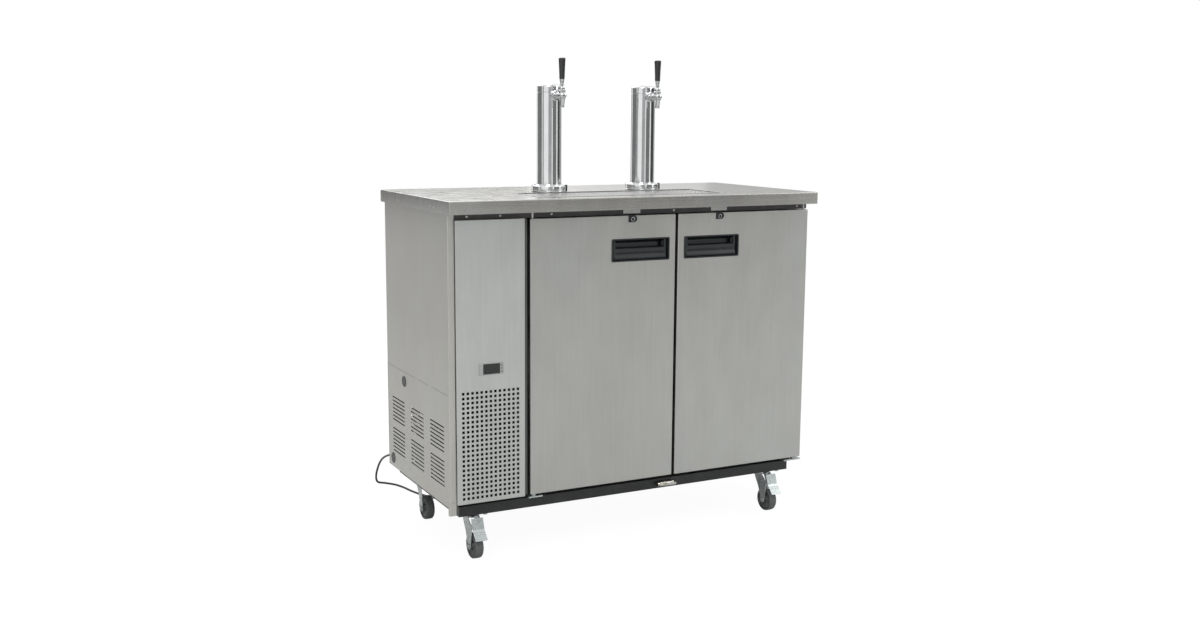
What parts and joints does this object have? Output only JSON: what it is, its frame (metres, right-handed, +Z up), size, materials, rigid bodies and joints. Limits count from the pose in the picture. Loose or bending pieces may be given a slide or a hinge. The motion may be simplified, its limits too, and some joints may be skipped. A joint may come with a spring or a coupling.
{
  "type": "kegerator",
  "caption": "Beer dispenser cabinet on casters with doors, a machine bay with a perforated panel, a drip tray and draught towers with taps.",
  "frame": {"origin": "on the floor, under the middle of the counter's footprint", "axes": "+Z up, -Y towards the doors and taps, +X to the right seen from the front"},
  "size_m": [1.245, 0.923, 1.455],
  "materials": {
    "stainless": "brushed, satin",
    "stainless_counter": "finely brushed, glossier",
    "stainless_interior": "satin sheet",
    "foamed_cabinet": "matt",
    "black_enamel": "semi-gloss enamel",
    "zinc": "bright zinc",
    "polished_steel": "polished",
    "black_plastic": "fine grain",
    "black_knob": "gloss",
    "grey_plastic": "satin",
    "white_plastic": "satin",
    "clear_hose": "smooth",
    "gasket_rubber": "matt",
    "wheel_rubber": "matt",
    "cord_rubber": "satin",
    "brass": "turned",
    "nickel": "plated",
    "fin_aluminium": "painted dark"
  },
  "bodies": {
    "cabinet": {"cabinet_body": "foamed_cabinet", "inner_liner": "stainless_interior", "side_panel_upper": "stainless", "side_panel_lower": "stainless", "rear_right_skin": "stainless", "front_panel": "stainless", "top_rail": "black_enamel", "base_frame": "black_enamel", "counter_top": "stainless_counter", "drip_tray": "stainless_counter", "compressor": "black_enamel", "condenser": "fin_aluminium", "evaporator_cover": "white_plastic", "controller": "grey_plastic", "hinge_bracket_left": "zinc", "hinge_bracket_right": "zinc", "caster_rail_left": "zinc", "caster_rail_right": "zinc", "drain_valve": "nickel", "cord_gland": "black_plastic", "power_cord": "cord_rubber", "cord_coil": "cord_rubber", "power_plug": "black_plastic", "tower_left_column": "polished_steel", "tower_left_cap": "polished_steel", "tower_left_faucet": "polished_steel", "tower_left_beer_line": "clear_hose", "tower_right_column": "polished_steel", "tower_right_cap": "polished_steel", "tower_right_faucet": "polished_steel", "tower_right_beer_line": "clear_hose"},
    "door_left": {"door_left_panel": "stainless", "door_left_gasket": "gasket_rubber", "door_left_handle": "black_plastic"},
    "lock_left": {"door_left_lock": "black_enamel"},
    "tap_handle_left": {"tower_left_handle": "black_knob"},
    "tap_plunger_left": {"tower_left_plunger": "brass"},
    "door_right": {"door_right_panel": "stainless", "door_right_gasket": "gasket_rubber", "door_right_handle": "black_plastic"},
    "lock_right": {"door_right_lock": "black_enamel"},
    "tap_handle_right": {"tower_right_handle": "black_knob"},
    "tap_plunger_right": {"tower_right_plunger": "brass"},
    "grate": {"drip_grate": "stainless_counter"},
    "condenser_fan": {"condenser_fan": "black_plastic"},
    "evaporator_fan": {"evaporator_fan": "black_plastic"},
    "key_1": {"controller_key_1": "black_plastic"},
    "key_2": {"controller_key_2": "black_plastic"},
    "key_3": {"controller_key_3": "black_plastic"},
    "drain_lever": {"drain_lever": "zinc"},
    "fork_front_left": {"caster_front_left_fork": "zinc"},
    "wheel_front_left": {"caster_front_left_wheel": "wheel_rubber"},
    "pedal_left": {"caster_front_left_pedal": "zinc"},
    "fork_front_right": {"caster_front_right_fork": "zinc"},
    "wheel_front_right": {"caster_front_right_wheel": "wheel_rubber"},
    "pedal_right": {"caster_front_right_pedal": "zinc"},
    "fork_rear_left": {"caster_rear_left_fork": "zinc"},
    "wheel_rear_left": {"caster_rear_left_wheel": "wheel_rubber"},
    "fork_rear_right": {"caster_rear_right_fork": "zinc"},
    "wheel_rear_right": {"caster_rear_right_wheel": "wheel_rubber"}
  },
  "joints": [
    {"name": "door_left_hinge", "type": "hinge", "parent": "cabinet", "child": "door_left", "pos_m": [-0.3465, -0.247, 0.179], "axis": [0, 0, -1], "range_deg": [0, 100]},
    {"name": "lock_left_turn", "type": "hinge", "parent": "door_left", "child": "lock_left", "pos_m": [-0.0285, -0.263, 0.9815], "axis": [0, 1, 0], "range_deg": [0, 90]},
    {"name": "tap_left_tilt", "type": "hinge", "parent": "cabinet", "child": "tap_handle_left", "pos_m": [-0.166, -0.062, 1.363], "axis": [1, 0, 0], "range_deg": [0, 30]},
    {"name": "tap_left_plunger", "type": "slide", "parent": "cabinet", "child": "tap_plunger_left", "axis": [0, 1, 0], "range_m": [0, 0.0098]},
    {"name": "door_right_hinge", "type": "hinge", "parent": "cabinet", "child": "door_right", "pos_m": [0.5965, -0.247, 0.179], "axis": [0, 0, 1], "range_deg": [0, 100]},
    {"name": "lock_right_turn", "type": "hinge", "parent": "door_right", "child": "lock_right", "pos_m": [0.2785, -0.263, 0.9815], "axis": [0, -1, 0], "range_deg": [0, 90]},
    {"name": "tap_right_tilt", "type": "hinge", "parent": "cabinet", "child": "tap_handle_right", "pos_m": [0.166, -0.062, 1.363], "axis": [1, 0, 0], "range_deg": [0, 30]},
    {"name": "tap_right_plunger", "type": "slide", "parent": "cabinet", "child": "tap_plunger_right", "axis": [0, 1, 0], "range_m": [0, 0.0098]},
    {"name": "grate_lift", "type": "slide", "parent": "cabinet", "child": "grate", "axis": [0, 0, 1], "range_m": [0, 0.12]},
    {"name": "condenser_fan_spin", "type": "hinge", "parent": "cabinet", "child": "condenser_fan", "pos_m": [-0.48545, -0.195, 0.3333], "axis": [0, 1, 0], "continuous": true},
    {"name": "evaporator_fan_spin", "type": "hinge", "parent": "cabinet", "child": "evaporator_fan", "pos_m": [-0.2714, 0.03955, 0.7964], "axis": [1, 0, 0], "continuous": true},
    {"name": "key_1_press", "type": "slide", "parent": "cabinet", "child": "key_1", "axis": [0, 1, 0], "range_m": [0, 0.0008], "stiffness_N_per_m": 400},
    {"name": "key_2_press", "type": "slide", "parent": "cabinet", "child": "key_2", "axis": [0, 1, 0], "range_m": [0, 0.0008], "stiffness_N_per_m": 400},
    {"name": "key_3_press", "type": "slide", "parent": "cabinet", "child": "key_3", "axis": [0, 1, 0], "range_m": [0, 0.0008], "stiffness_N_per_m": 400},
    {"name": "drain_lever_turn", "type": "hinge", "parent": "cabinet", "child": "drain_lever", "pos_m": [0.0995, -0.2696, 0.153], "axis": [0, 1, 0], "range_deg": [0, 90]},
    {"name": "swivel_front_left", "type": "hinge", "parent": "cabinet", "child": "fork_front_left", "pos_m": [-0.5245, -0.195, 0.125], "axis": [0, 0, 1], "continuous": true},
    {"name": "roll_front_left", "type": "hinge", "parent": "fork_front_left", "child": "wheel_front_left", "pos_m": [-0.5245, -0.225, 0.03803], "axis": [1, 0, 0], "continuous": true},
    {"name": "pedal_left_press", "type": "hinge", "parent": "fork_front_left", "child": "pedal_left", "pos_m": [-0.5245, -0.238, 0.09953], "axis": [1, 0, 0], "range_deg": [0, 15]},
    {"name": "swivel_front_right", "type": "hinge", "parent": "cabinet", "child": "fork_front_right", "pos_m": [0.5115, -0.195, 0.125], "axis": [0, 0, 1], "continuous": true},
    {"name": "roll_front_right", "type": "hinge", "parent": "fork_front_right", "child": "wheel_front_right", "pos_m": [0.5115, -0.225, 0.03803], "axis": [1, 0, 0], "continuous": true},
    {"name": "pedal_right_press", "type": "hinge", "parent": "fork_front_right", "child": "pedal_right", "pos_m": [0.5115, -0.238, 0.09953], "axis": [1, 0, 0], "range_deg": [0, 15]},
    {"name": "swivel_rear_left", "type": "hinge", "parent": "cabinet", "child": "fork_rear_left", "pos_m": [-0.5245, 0.212, 0.125], "axis": [0, 0, 1], "continuous": true},
    {"name": "roll_rear_left", "type": "hinge", "parent": "fork_rear_left", "child": "wheel_rear_left", "pos_m": [-0.5245, 0.182, 0.03803], "axis": [1, 0, 0], "continuous": true},
    {"name": "swivel_rear_right", "type": "hinge", "parent": "cabinet", "child": "fork_rear_right", "pos_m": [0.5115, 0.212, 0.125], "axis": [0, 0, 1], "continuous": true},
    {"name": "roll_rear_right", "type": "hinge", "parent": "fork_rear_right", "child": "wheel_rear_right", "pos_m": [0.5115, 0.182, 0.03803], "axis": [1, 0, 0], "continuous": true}
  ],
  "couplings": [
    {"joint": "tap_left_plunger", "follows": "tap_left_tilt", "m_per_rad": 0.01862},
    {"joint": "tap_right_plunger", "follows": "tap_right_tilt", "m_per_rad": 0.01862}
  ]
}
